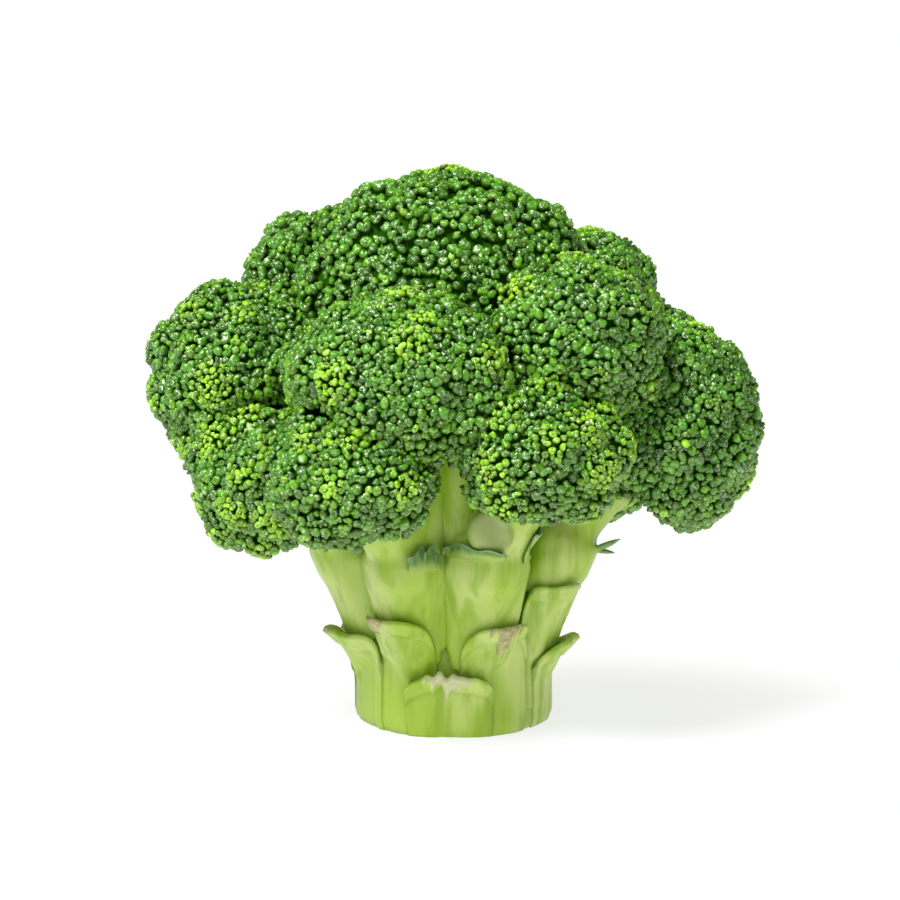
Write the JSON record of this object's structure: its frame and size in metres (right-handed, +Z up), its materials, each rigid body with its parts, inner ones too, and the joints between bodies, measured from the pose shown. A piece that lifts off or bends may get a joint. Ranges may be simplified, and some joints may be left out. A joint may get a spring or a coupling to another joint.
{
  "type": "broccoli head",
  "caption": "Fresh broccoli head standing on its cut stalk, with clasping leaf bases, forked pale branches and domed crowns of tight green flower buds.",
  "frame": {"origin": "middle of the whole head's footprint, on the cut face that the head stands on", "axes": "+Z up along the stalk, +X to the right as seen from the front, -Y towards the front, where the low front leaf base is"},
  "size_m": [0.1478, 0.1262, 0.1336],
  "materials": {
    "flower_buds": "waxy green flower buds, satin",
    "stalk_flesh": "smooth pale green stalk, satin, with a paler cut face",
    "branch_flesh": "smooth pale green branch skin, satin",
    "leaf_base_rind": "pale green leaf-base rind with a healed brown cut, satin",
    "leaf_blade": "waxy green leaf blade, satin"
  },
  "bodies": {
    "root": {"crown_top": "flower_buds", "crown_upper_left": "flower_buds", "crown_upper_right": "flower_buds", "crown_left": "flower_buds", "crown_right": "flower_buds", "crown_front": "flower_buds", "crown_front_right": "flower_buds", "crown_back": "flower_buds", "crown_back_left": "flower_buds", "crown_back_right": "flower_buds", "crown_side_right": "flower_buds", "crown_low_left": "flower_buds", "crown_low_front": "flower_buds", "crown_low_front_right": "flower_buds", "crown_low_side_left": "flower_buds", "crown_low_back_left": "flower_buds", "crown_low_back": "flower_buds", "crown_low_back_right": "flower_buds", "stalk": "stalk_flesh", "branch_front_left": "branch_flesh", "branch_front_right": "branch_flesh", "branch_right": "branch_flesh", "branch_left": "branch_flesh", "branch_back_left": "branch_flesh", "branch_back": "branch_flesh", "branch_back_right": "branch_flesh", "leaf_base_low_front": "leaf_base_rind", "leaf_base_front_left": "leaf_base_rind", "leaf_base_front_right": "leaf_base_rind", "leaf_base_left": "leaf_base_rind", "leaf_base_right": "leaf_base_rind", "leaf_base_right_upper": "leaf_base_rind", "leaf_base_back_right": "leaf_base_rind", "leaf_base_back": "leaf_base_rind", "leaf_base_back_left": "leaf_base_rind", "leaf_base_side_left": "leaf_base_rind", "leaflet_front_collar": "leaf_blade", "leaflet_front_frill": "leaf_blade", "leaflet_front_flap": "leaf_blade", "leaflet_right_sprig": "leaf_blade"}
  },
  "joints": []
}
